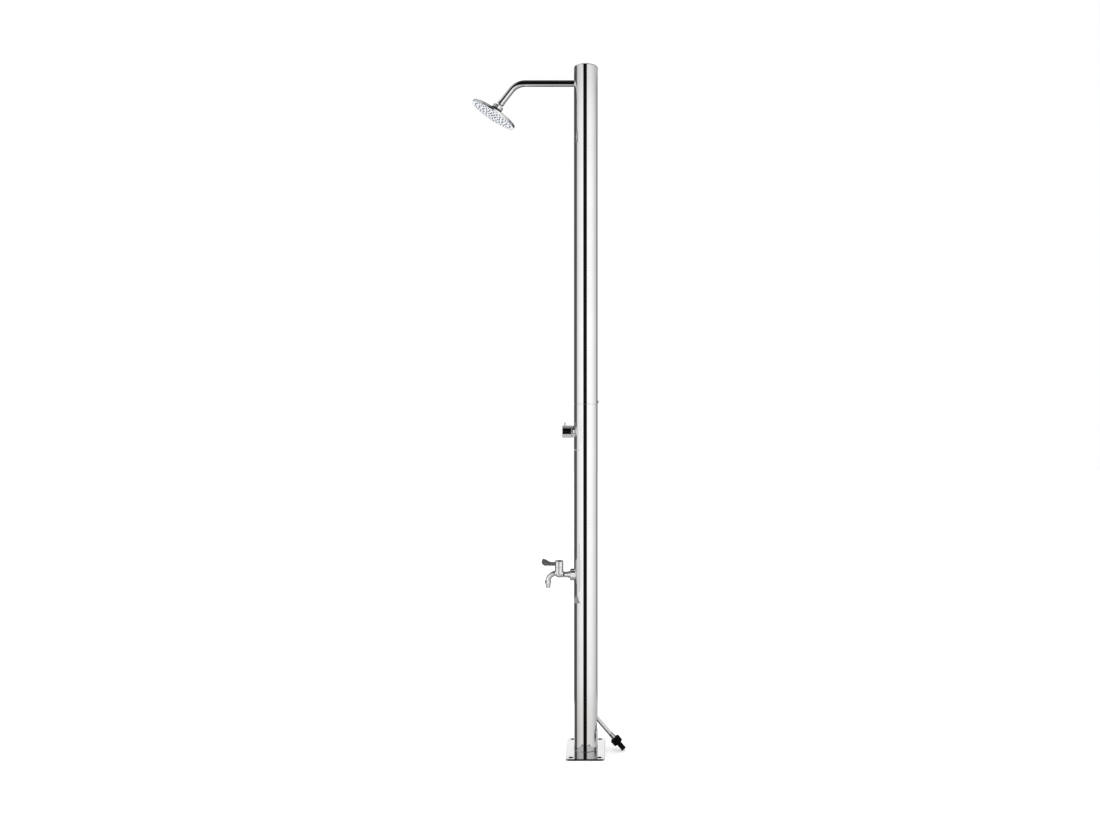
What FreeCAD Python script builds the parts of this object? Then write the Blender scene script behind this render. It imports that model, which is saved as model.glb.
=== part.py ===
import FreeCAD, Part
import math
import os

V = FreeCAD.Vector

# Outdoor shower post. Millimetres. Origin: centre of the base plate's underside,
# +Z up the post, -X towards the shower arm, the knob and the foot tap, +X towards the inlet hose.

# ---------------------------------------------------------------- driving dimensions
POST_R = 38.05            # 76.1 mm tube
POST_T = 1.5
POST_RI = POST_R - POST_T
TOP_Z = 2196.5
SEAM_Z = 1113.0           # joint between the two post sections
SEAM_GAP = 0.6

PLATE_X, PLATE_Y, PLATE_T, PLATE_CORNER = 120.0, 200.0, 5.0, 6.0
HOLE_R, HOLE_DX, HOLE_DY = 6.0, 90.0, 170.0

SLOT_W, SLOT_Z0, SLOT_Z1 = 30.0, 59.0, 114.0    # hose slot in the back of the lower post

ARM_Z = 2144.2
ARM_R, ARM_RI = 10.0, 7.5
ARM_DOWN = 52.0           # angle of the arm's end below horizontal, degrees
ARM_BEND = 57.0
BALL_C = V(-285.0, 0.0, 2064.6)
BALL_R = 10.5
HEAD_TILT = 31.3          # head axis from vertical, degrees
HEAD_R = 77.2

VALVE_Z = 1024.6
KNOB_R = 19.2
PIN_X = -67.6

TAP_Z = 564.5
TAP_X = -86.0             # axis of the tap's bonnet

HOSE_R = 6.7
EXIT = V(38.05, 0.0, 99.5)          # inlet hose's centreline at the post's outside
HOSE_DIR = V(0.6617, -0.0634, -0.7470)
HOSE_DIR.normalize()
HOSE_TIP = 126.8                    # from EXIT to the adapter's mouth

os.makedirs("parts", exist_ok=True)


# ---------------------------------------------------------------- helpers
def place(shape, base, axis):
    """Turns a shape built about +Z so that +Z becomes axis, and moves its origin to base."""
    s = shape.copy()
    s.Placement = FreeCAD.Placement(V(*base), FreeCAD.Rotation(V(0, 0, 1), V(*axis)))
    return s


def wire_of(profile):
    """Closed outline from (r, s) points; an entry of two points is an arc through the first to the second."""
    edges, first, last = [], None, None
    for item in profile:
        if isinstance(item[0], tuple):
            mid, end = V(item[0][0], 0, item[0][1]), V(item[1][0], 0, item[1][1])
            edges.append(Part.Arc(last, mid, end).toShape())
            last = end
        else:
            p = V(item[0], 0, item[1])
            if last is not None:
                if p.distanceToPoint(last) > 1e-6:
                    edges.append(Part.LineSegment(last, p).toShape())
            else:
                first = p
            last = p
    if last.distanceToPoint(first) > 1e-6:
        edges.append(Part.LineSegment(last, first).toShape())
    return Part.Wire(edges)


def rev(profile, base=(0, 0, 0), axis=(0, 0, 1)):
    face = Part.Face(wire_of(profile))
    solid = face.revolve(V(0, 0, 0), V(0, 0, 1), 360)
    if solid.ShapeType != "Solid":
        solid = Part.Solid(Part.Shell(solid.Faces)) if not solid.Solids else solid.Solids[0]
    if solid.Volume < 0:
        solid.reverse()
    return place(solid, base, axis)


def cyl(r, s0, s1, base=(0, 0, 0), axis=(0, 0, 1)):
    c = Part.makeCylinder(r, s1 - s0, V(0, 0, s0))
    return place(c, base, axis)


def ring(r0, r1, s0, s1, base=(0, 0, 0), axis=(0, 0, 1)):
    return cyl(r1, s0, s1, base, axis).cut(cyl(r0, s0 - 1, s1 + 1, base, axis))


def hexa(af, s0, s1, base=(0, 0, 0), axis=(0, 0, 1), turn=0.0):
    rc = af / 2 / math.cos(math.pi / 6)
    pts = [V(rc * math.cos(math.radians(60 * i + turn)), rc * math.sin(math.radians(60 * i + turn)), s0) for i in range(7)]
    prism = Part.Face(Part.makePolygon(pts)).extrude(V(0, 0, s1 - s0))
    c = (rc - af / 2) * 0.95
    trim = rev([(0, s0 - 1), (rc - c * 0.9, s0 - 1), (rc - c * 0.9, s0), (rc, s0 + c * 0.5), (rc + 1, s0 + c * 0.5),
                (rc + 1, s1 - c * 0.5), (rc, s1 - c * 0.5), (rc - c * 0.9, s1), (rc - c * 0.9, s1 + 1), (0, s1 + 1)])
    return place(prism.common(trim), base, axis)


def one(shape):
    s = shape.removeSplitter()
    return s


def route_wire(points):
    """Straight runs joined by tangent arcs; each arc's radius is 0.45 of its shorter run over the tangent of half the turn."""
    pts = [V(*p) for p in points]
    edges, radii, length, last = [], [], 0.0, pts[0]
    for a, b, c in zip(pts, pts[1:], pts[2:]):
        u, w = (b - a), (c - b)
        short = min(u.Length, w.Length)
        u.normalize(), w.normalize()
        turn = math.acos(max(-1, min(1, u.dot(w))))
        r = 0.45 * short / math.tan(turn / 2)
        t = 0.45 * short
        p0, p1 = b - u * t, b + w * t
        to_c = (w - u)
        to_c.normalize()
        centre = b + to_c * (r / math.cos(turn / 2))
        mid = centre - to_c * r
        edges.append(Part.LineSegment(last, p0).toShape())
        edges.append(Part.Arc(p0, mid, p1).toShape())
        length += (p0 - last).Length + r * turn
        radii.append(round(r, 1))
        last = p1
    edges.append(Part.LineSegment(last, pts[-1]).toShape())
    length += (pts[-1] - last).Length
    return Part.Wire(edges), radii, length


def hose(name, points, r):
    wire, radii, length = route_wire(points)
    d = V(*points[1]) - V(*points[0])
    circle = Part.Wire([Part.Circle(V(*points[0]), d, r).toShape()])
    tube = wire.makePipeShell([circle], True, False)
    if tube.Volume < 0:
        tube.reverse()
    print(name, "radii", radii, "length", round(length, 1), "volume ratio", round(tube.Volume / (math.pi * r * r * length), 4))
    return tube


def save(name, shape):
    shapes = shape if isinstance(shape, list) else [shape]
    solids = []
    for s in shapes:
        for q in s.Solids:
            if not q.isValid():
                print("INVALID", name)
            solids.append(q)
    out = solids[0] if len(solids) == 1 else Part.makeCompound(solids)
    out.exportStep("parts/%s.step" % name)
    b = out.BoundBox
    print("%-18s solids %2d vol %10.1f  x %.2f..%.2f y %.2f..%.2f z %.2f..%.2f" % (
        name, len(solids), out.Volume, b.XMin, b.XMax, b.YMin, b.YMax, b.ZMin, b.ZMax))


LEFT = (-1, 0, 0)
Q = math.sqrt(0.5)

# ---------------------------------------------------------------- base plate
plate = Part.makeBox(PLATE_X, PLATE_Y, PLATE_T, V(-PLATE_X / 2, -PLATE_Y / 2, 0))
plate = plate.makeFillet(PLATE_CORNER, [e for e in plate.Edges if abs(e.tangentAt(e.FirstParameter).z) > 0.99])
rim = [e for e in plate.Edges if all(abs(v.Z - PLATE_T) < 1e-6 for v in e.Vertexes)]
plate = plate.makeChamfer(0.6, rim)
plate = plate.fuse(ring(34.3, 36.4, PLATE_T - 0.5, PLATE_T + 12.0))
for sx in (-1, 1):
    for sy in (-1, 1):
        plate = plate.cut(cyl(HOLE_R, -1, PLATE_T + 1, (sx * HOLE_DX / 2, sy * HOLE_DY / 2, 0)))
save("base_plate", one(plate))

# thin weld bead round the tube's foot
save("foot_weld", rev([(POST_R, PLATE_T), (POST_R + 1.2, PLATE_T), ((POST_R + 0.5, PLATE_T + 0.5), (POST_R, PLATE_T + 1.2))]))

# ---------------------------------------------------------------- post sections
z0, z1 = PLATE_T, SEAM_Z - SEAM_GAP / 2
lower = rev([(POST_RI, z0), (POST_R, z0), (POST_R, z1 - 0.7), (POST_R - 0.7, z1), (POST_RI, z1)])
lower = lower.cut(cyl(13.3, 0, 60, (0, 0, VALVE_Z), LEFT))
lower = lower.cut(cyl(10.8, 0, 60, (0, 0, TAP_Z), LEFT))
slot = Part.makeBox(40, SLOT_W, SLOT_Z1 - SLOT_Z0 - SLOT_W, V(10, -SLOT_W / 2, SLOT_Z0 + SLOT_W / 2))
slot = slot.fuse(cyl(SLOT_W / 2, 10, 50, (0, 0, SLOT_Z0 + SLOT_W / 2), (1, 0, 0)))
slot = slot.fuse(cyl(SLOT_W / 2, 10, 50, (0, 0, SLOT_Z1 - SLOT_W / 2), (1, 0, 0)))
lower = lower.cut(slot)
save("lower_post", one(lower))

SCREW_Z = SEAM_Z + 7.0
z0, z1 = SEAM_Z + SEAM_GAP / 2, TOP_Z - 6.0
upper = rev([(POST_RI, z0), (POST_R - 0.7, z0), (POST_R, z0 + 0.7), (POST_R, z1), (POST_RI, z1)])
upper = upper.cut(cyl(ARM_R, 0, 60, (0, 0, ARM_Z), LEFT))
for ax in ((1, 0, 0), (0, 1, 0)):
    upper = upper.cut(cyl(2.75, 20, 60, (0, 0, SCREW_Z), ax))
save("upper_post", one(upper))

sleeve = ring(33.3, 36.5, SEAM_Z - 60, SEAM_Z + 60)
for ax in ((1, 0, 0), (0, 1, 0)):
    sleeve = sleeve.cut(cyl(2.5, 20, 60, (0, 0, SCREW_Z), ax))
save("joint_sleeve", one(sleeve))

screws = []
for ax in ((1, 0, 0), (0, 1, 0)):
    s = rev([(0, 30.5), (2.0, 30.5), (2.45, 31.0), (2.45, POST_R), (4.75, POST_R), (4.75, POST_R + 0.8),
             ((3.9, POST_R + 2.2), (2.2, POST_R + 2.75)), (0, POST_R + 2.75)], (0, 0, SCREW_Z), ax)
    s = s.cut(hexa(3.0, POST_R + 1.0, POST_R + 4.0, (0, 0, SCREW_Z), ax))
    screws.append(one(s))
save("joint_screws", screws)

# ---------------------------------------------------------------- top cap and its O-ring
z1 = TOP_Z - 6.0
save("top_cap", rev([
    (0, TOP_Z), (POST_R - 2.3, TOP_Z), ((POST_R - 2.3 + 3.0 * Q, TOP_Z - 3.0 + 3.0 * Q), (POST_R + 0.7, TOP_Z - 3.0)), (POST_R + 0.7, z1),
    (36.35, z1), (36.35, z1 - 6.5), (34.0, z1 - 6.5), (34.0, z1 - 9.5), (36.35, z1 - 9.5), (36.35, z1 - 17.0),
    (35.6, z1 - 18.0), (32.0, z1 - 18.0), (32.0, z1 + 2.5), (0, z1 + 2.5)]))
save("cap_o_ring", rev([(34.2, z1 - 8.0), ((35.35, z1 - 6.85), (36.5, z1 - 8.0)), ((35.35, z1 - 9.15), (34.2, z1 - 8.0))]))

# ---------------------------------------------------------------- shower arm
down = math.radians(ARM_DOWN)
ARM_DIR = V(-math.cos(down), 0, -math.sin(down))      # towards the head
UP_ARM = ARM_DIR * -1
corner = BALL_C + UP_ARM * ((ARM_Z - BALL_C.z) / math.sin(down))
tan_len = ARM_BEND * math.tan(down / 2)
ARM_END = 16.0                                        # arm's end from the ball's centre


def arm_core(r, x_start, end):
    a, b = V(x_start, 0, ARM_Z), V(corner.x + tan_len, 0, ARM_Z)
    c, d = corner + ARM_DIR * tan_len, BALL_C + UP_ARM * end
    centre = V(corner.x + tan_len, 0, ARM_Z - ARM_BEND)
    mid_dir = V(-math.sin(down / 2), 0, math.cos(down / 2))
    arc = Part.Arc(b, centre + mid_dir * ARM_BEND, c).toShape()
    wire = Part.Wire([Part.LineSegment(a, b).toShape(), arc, Part.LineSegment(c, d).toShape()])
    circle = Part.Wire([Part.Circle(a, V(-1, 0, 0), r).toShape()])
    return wire.makePipeShell([circle], True, False)


arm = arm_core(ARM_R, -25.0, ARM_END + 8.0)
arm = arm.fuse(cyl(9.0, 10.0, 26.0, (0, 0, ARM_Z), LEFT))
arm = arm.fuse(cyl(9.0, ARM_END, ARM_END + 9.0, tuple(BALL_C), tuple(UP_ARM)))
arm = arm.cut(arm_core(ARM_RI, -5.0, 10.0))
save("shower_arm", one(arm))

# elbow inside the post, screwed on the arm's inner end, with its port pointing down
elbow = cyl(13.0, -13.6, 24.0, (0, 0, ARM_Z), LEFT).fuse(cyl(12.0, -22.0, 0.0, (0, 0, ARM_Z)))
elbow = elbow.fuse(cyl(10.4, -34.0, -20.0, (0, 0, ARM_Z)))
elbow = elbow.cut(cyl(9.05, 9.5, 30.0, (0, 0, ARM_Z), LEFT)).cut(cyl(7.2, -8.5, 12.0, (0, 0, ARM_Z), LEFT))
elbow = elbow.cut(cyl(6.4, -40.0, 2.0, (0, 0, ARM_Z)))
save("arm_elbow", one(elbow))

# ---------------------------------------------------------------- ball piece screwed on the arm's end
ball = Part.makeSphere(BALL_R)
ball = ball.fuse(cyl(5.5, 0, 14.5))
ball = ball.fuse(rev([(0, 13.2), (8.6, 13.2), (9.6, 13.5), (11.3, 15.2), (11.3, 23.4), (10.8, 23.98), (0, 23.98)]))
ball = ball.cut(cyl(9.05, 15.0, 30.0)).cut(cyl(3.6, -15.0, 20.0))
ball = ball.cut(Part.makeBox(40, 40, 5, V(-20, -20, -13.8)))       # flat mouth of the ball's bore
save("head_ball", one(place(ball, tuple(BALL_C), tuple(UP_ARM))))
save("arm_washer", ring(6.0, 8.9, 15.02, 15.98, tuple(BALL_C), tuple(UP_ARM)))

# ---------------------------------------------------------------- shower head, about its own axis through the ball's centre
tilt = math.radians(HEAD_TILT)
W = V(-math.sin(tilt), 0.0, -math.cos(tilt))
HB, HA = tuple(BALL_C), tuple(W)


def sph(r, s):
    return math.sqrt(r * r - s * s)


# thin liner cup round the ball
ri, ro, s0, s1 = 10.55, 11.75, -6.0, 4.2
save("ball_liner", rev([(sph(ri, s0), s0), (sph(ro, s0), s0), ((ro, 0), (sph(ro, s1), s1)), (sph(ri, s1), s1),
                        ((ri, 0), (sph(ri, s0), s0))], HB, HA))
# seat ring, spherical inside
rs, s0, s1 = 11.8, -7.0, 6.0
save("seat_ring", rev([(sph(rs, s0), s0), (13.2, s0), (13.2, s1), (sph(rs, s1), s1), ((rs, 0), (sph(rs, s0), s0))], HB, HA))
# collar nut that holds them to the head
collar = rev([(10.8, -8.6), (15.9, -8.6), ((16.95, -8.15), (17.4, -7.1)), (17.4, 7.4), (16.4, 8.5), (14.35, 8.5), (14.35, 6.3),
              (13.3, 6.05), (13.3, -7.1), (10.1, -7.1)], HB, HA)
for i in range(24):                                                # fine grip flutes
    a = math.radians(15 * i)
    flute = cyl(1.0, -4.6, 5.4, (18.05 * math.cos(a), 18.05 * math.sin(a), 0))
    flute.Placement = FreeCAD.Placement(V(*HB), FreeCAD.Rotation(V(0, 0, 1), V(*HA))).multiply(flute.Placement)
    collar = collar.cut(flute)
save("collar_nut", one(collar))
save("neck_ring", rev([(14.3, 8.7), (15.3, 8.7), (15.7, 9.1), (15.7, 12.2), (15.3, 12.6), (14.3, 12.6)], HB, HA))
save("ball_seal", rev([(8.98, 6.4), (8.98, 10.8), (6.0, 10.8), (6.0, sph(10.8, 6.0)),
                       ((sph(10.8, 7.7), 7.7), (sph(10.8, 6.4), 6.4))], HB, HA))
save("filter_screen", rev([(0, 10.9), (8.9, 10.9), (8.9, 11.5), (0, 11.5)], HB, HA))

F0, F1 = 25.2, 27.0          # face plate
shell = rev([
    (9.1, 6.3), (14.25, 6.3), (14.25, 12.7), (18.0, 12.7), ((47.0, 14.6), (73.0, 18.4)), ((76.9, 19.6), (HEAD_R, 22.4)),
    (HEAD_R, 26.9), (HEAD_R - 0.6, 27.5), (HEAD_R - 1.3, 27.5), (HEAD_R - 1.3, 22.6), ((75.9, 20.6), (72.8, 19.7)),
    ((46.8, 15.9), (18.0, 14.0)), (6.0, 14.0), (6.0, 11.52), (9.1, 11.52)], HB, HA)
save("head_shell", one(shell))

rings = [(11.0, 6, 0.0), (24.0, 12, 7.0), (37.5, 18, 0.0), (51.0, 24, 5.0), (64.5, 30, 0.0)]
spots = [(0.0, 0.0)]
for r, n, off in rings:
    for i in range(n):
        a = math.radians(360.0 * i / n + off)
        spots.append((r * math.cos(a), r * math.sin(a)))
plate_f = Part.makeCylinder(HEAD_R - 1.4, F1 - F0, V(0, 0, F0))
holes = [Part.makeCylinder(2.3, F1 - F0 + 2, V(x, y, F0 - 1)) for x, y in spots]
plate_f = plate_f.cut(Part.makeCompound(holes))
save("face_plate", place(plate_f.Solids[0], HB, HA))
mat = Part.makeCylinder(72.0, 1.2, V(0, 0, F0 - 1.25))
cones = [Part.makeCone(2.2, 1.5, 5.2, V(x, y, F0 - 0.5)) for x, y in spots]
mat = mat.multiFuse(cones)
save("nozzle_mat", place(one(mat).Solids[0], HB, HA))

# ---------------------------------------------------------------- shut-off valve behind the knob
vb = (0, 0, VALVE_Z)
body = cyl(14.0, -26, 26, vb).fuse(cyl(10.4, -38, 38, vb))
body = body.fuse(cyl(12.9, 0, 43.0, vb, LEFT)).fuse(cyl(17.5, 20.0, 26.0, vb, LEFT))
body = body.cut(cyl(7.0, -40, 40, vb)).cut(cyl(9.6, 10.0, 50, vb, LEFT))
save("valve_body", one(body))
inner_wall = cyl(POST_RI - 0.05, -40, 40, vb)
save("valve_washer", one(ring(13.0, 17.5, 26.0, 40.0, vb, LEFT).common(inner_wall)))
esc = rev([(13.0, 30.0), (18.9, 30.0), (18.9, 40.5), (18.3, 44.0), (17.6, 44.8), (13.0, 44.8)], vb, LEFT)
save("valve_escutcheon", one(esc.cut(cyl(POST_R + 0.03, -30, 30, vb))))
cart = rev([(4.05, 12.0), (9.5, 12.0), (9.5, 43.05), (12.2, 43.05), (12.2, 45.3), (8.0, 46.0), (8.0, 49.5), (4.05, 49.5)], vb, LEFT)
save("valve_cartridge", one(cart))

save("valve_spindle", rev([(0, 16.0), (3.4, 16.0), (4.0, 16.6), (4.0, 63.4), (3.4, 64.0), (0, 64.0)], vb, LEFT))
knob = rev([(13.4, 45.4), (KNOB_R - 0.8, 45.4), (KNOB_R, 46.2), (KNOB_R, 74.0), ((KNOB_R - 0.41, 74.99), (KNOB_R - 1.4, 75.4)), (0, 75.4), (0, 64.2), (4.0, 64.2),
            (4.0, 51.0), (13.4, 51.0)], vb, LEFT)
knob = knob.cut(cyl(2.7, 8.0, 25.0, (PIN_X, 0, VALVE_Z))).cut(cyl(2.1, -25.0, -3.0, (-57.0, 0, VALVE_Z)))
save("knob", one(knob))
save("knob_pin", rev([(0, 8.0), (2.7, 8.0), (2.7, 27.7), ((1.2 + 1.5 * Q, 27.7 + 1.5 * Q), (1.2, 29.2)), (0, 29.2)], (PIN_X, 0, VALVE_Z)))
grub = rev([(0, -18.2), (2.0, -18.2), (2.0, -5.0), (1.0, -4.0), (0, -4.0)], (-57.0, 0, VALVE_Z))
save("knob_grub_screw", one(grub.cut(hexa(1.6, -19, -15.5, (-57.0, 0, VALVE_Z)))))

# ---------------------------------------------------------------- foot tap
tb = (0, 0, TAP_Z)
tv = (TAP_X, 0, 0)
NECK_TOP = 588.0
tap = cyl(10.4, 12.0, 52.0, tb, LEFT)
tap = tap.fuse(rev([(0, 50.6), (11.2, 50.6), (11.2, 54.8), (9.2, 57.4), (9.0, 60.0), (9.0, 86.0), (0, 86.0)], tb, LEFT))
tap = tap.fuse(rev([(0, 555.2), ((6.0, 556.1), (10.2, 559.4)), ((12.7, 563.9), (13.5, 569.5)), (13.5, NECK_TOP), (0, NECK_TOP)], tv))
# spout: level out of the bonnet, a wide bend to 20 degrees off plumb, then a short one to plumb
BEND_C, BEND_R, TAIL_R, OFF = V(-94.3, 0, 540.3), 28.3, 10.0, math.radians(20.0)
pa, pb = V(TAP_X + 2, 0, BEND_C.z + BEND_R), BEND_C + V(0, 0, BEND_R)
pc = BEND_C + V(-math.cos(OFF), 0, math.sin(OFF)) * BEND_R
mid1 = BEND_C + V(-math.cos(math.radians(55.0)), 0, math.sin(math.radians(55.0))) * BEND_R
TAIL_C = pc + V(math.cos(OFF), 0, -math.sin(OFF)) * TAIL_R
pd = TAIL_C + V(-TAIL_R, 0, 0)
mid2 = TAIL_C + V(-math.cos(OFF / 2), 0, math.sin(OFF / 2)) * TAIL_R
SPOUT_X, SPOUT_END = pd.x, pd.z - 0.4
pe = V(SPOUT_X, 0, SPOUT_END)
print("spout end", round(SPOUT_X, 3), round(SPOUT_END, 3))
spout_wire = Part.Wire([Part.LineSegment(pa, pb).toShape(), Part.Arc(pb, mid1, pc).toShape(), Part.Arc(pc, mid2, pd).toShape(),
                        Part.LineSegment(pd, pe).toShape()])


def spout(r):
    return spout_wire.makePipeShell([Part.Wire([Part.Circle(pa, V(-1, 0, 0), r).toShape()])], True, False)


tap = tap.fuse(spout(8.2)).removeSplitter().Solids[0]


def seam(shape, x0, x1):
    """Free-form edges within a span of X: where the pipe or the spout meets the bonnet."""
    found = []
    for e in shape.Edges:
        if e.BoundBox.XMin > x0 and e.BoundBox.XMax < x1 and e.BoundBox.ZMax < NECK_TOP - 1:
            try:
                if e.Curve.TypeId == "Part::GeomBSplineCurve":
                    found.append(e)
            except TypeError:
                pass
    return found


tap = tap.makeFillet(5.0, seam(tap, -80.0, -72.0))
tap = tap.makeFillet(3.5, seam(tap, -100.5, -90.0))
print("tap casting", tap.isValid(), len(tap.Solids), round(tap.Volume, 1))
tap = tap.fuse(cyl(7.0, -7.6, 0.4, (SPOUT_X, 0, SPOUT_END)))       # threaded end for the nozzle
tap = tap.cut(cyl(6.5, 5.0, 86.0, tb, LEFT)).cut(spout(5.4)).cut(cyl(5.4, -10.0, 0.4, (SPOUT_X, 0, SPOUT_END)))
tap = tap.cut(cyl(10.0, 561.0, 600.0, tv))
save("tap_body", one(tap))
flange = rev([(10.5, 30.0), (18.6, 30.0), (18.6, 46.8), ((17.85, 49.4), (15.6, 50.4)), (10.5, 50.4)], tb, LEFT)
save("tap_flange", one(flange.cut(cyl(POST_R + 0.03, -30, 30, tb))))
wall = cyl(POST_RI - 0.05, -40, 40, tb)
save("tap_washer", one(ring(10.5, 16.5, 32.0, 40.0, tb, LEFT).common(wall)))
save("tap_locknut", one(hexa(27.0, 26.0, 32.0, tb, LEFT).cut(cyl(10.42, 20, 40, tb, LEFT))))

tee = cyl(13.2, 0, 25.6, tb, LEFT).fuse(cyl(12.0, -22, 22, tb)).fuse(cyl(10.4, -34, 34, tb))
tee = tee.cut(cyl(10.42, 11.5, 30, tb, LEFT)).cut(cyl(6.5, 0, 20, tb, LEFT)).cut(cyl(7.0, -40, 40, tb))
save("supply_tee", one(tee))

cart = rev([(4.05, 563.0), (9.95, 563.0), (9.95, 588.05), (10.6, 588.05), (10.6, 590.0), (7.5, 591.0), (7.5, 595.5), (4.05, 595.5)], tv)
save("tap_cartridge", one(cart))
spin = rev([(0, 568.0), (3.4, 568.0), (4.0, 568.6), (4.0, 603.9), (1.9, 603.9), (1.9, 590.0), (0, 590.0)], tv)
save("tap_spindle", one(spin))
hub = rev([(11.2, 588.4), (13.1, 588.4), (13.7, 589.0), (13.7, 605.2), ((12.4, 608.4), (9.6, 609.6)), (8.05, 609.6), (8.05, 604.0), (4.0, 604.0),
           (4.0, 597.6), (11.2, 597.6)], tv)
hub = hub.cut(cyl(2.6, 11.2, 20.0, (TAP_X, 0, 598.6), LEFT))
save("tap_hub", one(hub))
save("tap_hub_screw", rev([(0, 590.5), (1.88, 590.5), (1.88, 604.0), (3.5, 604.0), (3.5, 606.2), (3.0, 606.7), (0, 606.7)], tv))
save("tap_hub_cap", rev([(0, 607.2), (8.0, 607.2), (8.0, 609.5), ((7.0 + Q, 609.5 + Q), (7.0, 610.5)), (0, 610.5)], tv))

# lever: side outline, rounded across
top = [(-98.4, 602.0), (-108.0, 602.0), (-115.0, 602.6), (-121.0, 605.2), (-129.0, 610.0), (-136.4, 612.8)]
tip = [(-139.6, 611.6), (-141.6, 607.2), (-142.2, 600.6), (-138.8, 595.6), (-133.4, 591.6)]
side = [(x, z + 1.8) for x, z in top + tip + [(-98.4, 591.6)]]


def lever_slab(half, inset):
    cx, cz = -118.0, 600.3
    pts = []
    for x, z in side:
        dx, dz = x - cx, z - cz
        n = math.hypot(dx, dz)
        pts.append(V(x - dx / n * inset if x < -100 else x, -half, z - dz / n * inset))
    pts.append(pts[0])
    return Part.Face(Part.makePolygon(pts)).extrude(V(0, 2 * half, 0))


lever = lever_slab(5.4, 0.0).fuse(lever_slab(6.5, 0.9)).fuse(lever_slab(7.0, 2.0))
lever = lever.cut(cyl(13.72, 580.0, 620.0, tv))
lever = lever.fuse(cyl(2.6, 11.4, 20.0, (TAP_X, 0, 598.6), LEFT))
save("tap_lever", one(lever))

# outlet nozzle: hexagon collar and tapered mouth
SX = (SPOUT_X, 0, 0)
noz = hexa(17.2, 535.6, SPOUT_END - 0.1, SX).fuse(rev([(0, 521.5), (6.7, 521.5), (7.0, 521.9), (8.3, 535.4), (8.3, 537.0), (0, 537.0)], SX))
noz = noz.cut(cyl(7.02, SPOUT_END - 7.8, 555.0, SX)).cut(cyl(5.0, 510.0, 545.0, SX))
save("tap_nozzle", one(noz))

# ---------------------------------------------------------------- water ways inside the post


def hose_nut(z_thread_end, up):
    """Hexagon nut over a threaded port, with a short neck round the hose; up is the direction from port to hose."""
    base, ax = (0, 0, z_thread_end), (0, 0, 1 if up else -1)
    n = hexa(24.0, -8.0, 3.0, base, ax).fuse(cyl(9.0, 2.0, 14.0, base, ax))
    return one(n.cut(cyl(10.45, -9.0, 0.3, base, ax)).cut(cyl(HOSE_R, -9.0, 20.0, base, ax)))


T_UP, T_DOWN = TAP_Z + 34.0, TAP_Z - 34.0
V_UP, V_DOWN = VALVE_Z + 38.0, VALVE_Z - 38.0
E_DOWN = ARM_Z - 34.0
save("feed_hose_nuts", [hose_nut(T_UP, True), hose_nut(V_DOWN, False)])
save("riser_hose_nuts", [hose_nut(V_UP, True), hose_nut(E_DOWN, False)])
save("inlet_hose_nut", hose_nut(T_DOWN, False))

save("feed_hose", hose("feed_hose", [
    (0, 0, T_UP + 1), (0, 0, T_UP + 48), (5.0, 1.5, T_UP + 115), (7.0, -1.0, T_UP + 195), (4.0, 1.0, T_UP + 270),
    (0, 0, V_DOWN - 48), (0, 0, V_DOWN - 1)], HOSE_R))
zz = [V_UP + 1, V_UP + 60] + [V_UP + 60 + (E_DOWN - V_UP - 120) * i / 8.0 for i in range(1, 8)] + [E_DOWN - 60, E_DOWN - 1]
xs = [0, 0, 5.0, 11.0, 12.5, 7.5, -1.0, -6.5, -5.0, 0, 0]
ys = [0, 0, 2.0, 1.0, -3.0, -6.0, -4.5, 0.5, 2.0, 0, 0]
save("riser_hose", hose("riser_hose", list(zip(xs, ys, zz)), HOSE_R))

# ---------------------------------------------------------------- inlet hose: from the tee, down the post, out of the slot to the ground


def along(t, y=0.0):
    p = EXIT + HOSE_DIR * t
    return (p.x, p.y + y, p.z)


HOSE_END = 76.6
knee = along(-88.0)
INLET = [
    (0.0, 0.0, T_DOWN - 1.0),
    (0.0, 0.0, 470.0),
    (-1.5, 2.0, 400.0),
    (-5.5, 4.5, 325.0),
    (-12.0, 6.0, 250.0),
    (knee[0] + 0.5, knee[1], knee[2] + 0.8),
    (along(0.0)[0] - 0.4, along(0.0)[1], along(0.0)[2] - 0.5),
    along(HOSE_END),
]
save("inlet_hose", hose("inlet_hose", INLET, HOSE_R))
print("route", [tuple(round(c, 2) for c in p) for p in INLET])

HD = tuple(HOSE_DIR)
HE = tuple(EXIT)
end_dir = V(*INLET[-1]) - V(*INLET[-2])
end_dir.normalize()
P_END = V(*INLET[-1])
fe, fd = tuple(P_END), tuple(end_dir)
# steel ferrule crimped on the hose's end
save("hose_ferrule", rev([(HOSE_R, -16.5), (7.3, -16.5), (7.75, -15.9), (7.75, -11.0), (7.45, -10.5), (7.45, -8.0), (7.75, -7.5), (7.75, 0.0), (HOSE_R, 0.0)], fe, fd))
L_TIP = HOSE_TIP - HOSE_END
# hose tail with its flange, held in the black nut
save("hose_tail", rev([(4.5, 0.02), (9.2, 0.02), (9.2, 4.3), (13.2, 4.3), (13.2, 7.0), (4.5, 7.0)], fe, fd))
save("adapter_washer", ring(4.5, 12.2, 7.02, 9.4, fe, fd))
# black threaded nut with grip ribs
nut = rev([(9.4, 1.6), (10.6, 1.6), (12.8, 4.0), (15.6, 4.9), (16.3, 6.0), (15.9, 23.0), (15.0, 24.3), (13.8, 24.3), (13.8, 4.6 + 2.6), (13.4, 7.2), (13.4, 4.2), (9.4, 4.2)], fe, fd)
for i in range(12):
    a = math.radians(30 * i)
    g = cyl(1.3, 7.5, 30.0, (17.0 * math.cos(a), 17.0 * math.sin(a), 0))
    g.Placement = FreeCAD.Placement(V(*fe), FreeCAD.Rotation(V(0, 0, 1), V(*fd))).multiply(g.Placement)
    nut = nut.cut(g)
save("adapter_nut", one(nut))
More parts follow.
